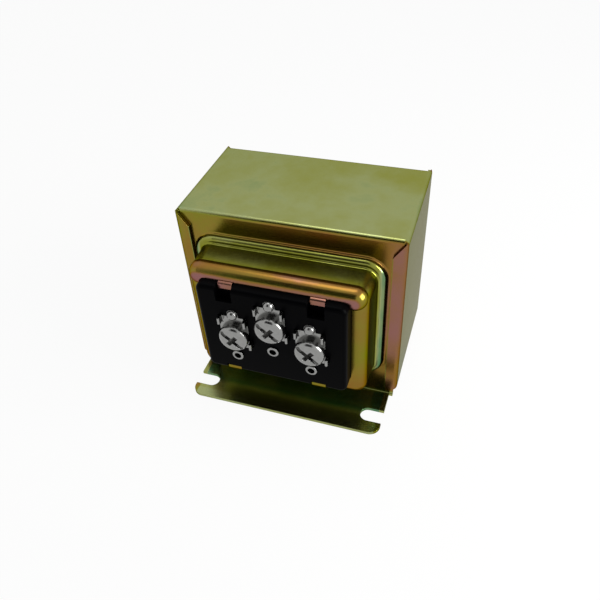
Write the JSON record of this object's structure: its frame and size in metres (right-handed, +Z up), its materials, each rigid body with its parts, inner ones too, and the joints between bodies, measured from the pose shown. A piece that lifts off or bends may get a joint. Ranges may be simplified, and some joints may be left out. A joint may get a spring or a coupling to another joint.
{
  "type": "foot-mounted transformer with screw terminals",
  "caption": "Foot-mounted low-voltage transformer: folded plated case with drawn end bells, moulded terminal block under a rolled brow, notched feet and a supply lead bushing.",
  "frame": {"origin": "on the mounting surface, under the middle of the case", "axes": "+X to the right when facing the terminals, -Y towards the terminals, +Z up"},
  "size_m": [0.0602, 0.0696, 0.0552],
  "materials": {
    "zinc_chromate": "yellow zinc chromate, semi-gloss, iridescent",
    "core_steel": "stacked sheet edges",
    "pressboard": "matt",
    "fish_paper": "matt",
    "bobbin_nylon": "satin",
    "magnet_wire": "enamelled copper",
    "coil_tape": "polyester tape",
    "black_moulding": "satin thermoset",
    "tinned_brass": "bright tin plate",
    "nickel_screw": "bright nickel plate",
    "solder": "bright",
    "lead_sleeve": "satin",
    "black_nylon": "satin"
  },
  "bodies": {
    "root": {"case_shell": "zinc_chromate", "e_laminations": "core_steel", "i_laminations": "core_steel", "core_wedge": "pressboard", "front_insulator": "fish_paper", "rear_insulator": "fish_paper", "bobbin": "bobbin_nylon", "primary_winding": "magnet_wire", "secondary_winding": "magnet_wire", "primary_wrap": "coil_tape", "secondary_wrap": "coil_tape", "terminal_block": "black_moulding", "terminal_plate_left": "tinned_brass", "terminal_plate_centre": "tinned_brass", "terminal_plate_right": "tinned_brass", "terminal_screws": "nickel_screw", "terminal_eyelets": "tinned_brass", "solder_joints": "solder", "lead_left": "lead_sleeve", "lead_centre": "lead_sleeve", "lead_right": "lead_sleeve", "lead_bushing": "black_nylon"}
  },
  "joints": []
}
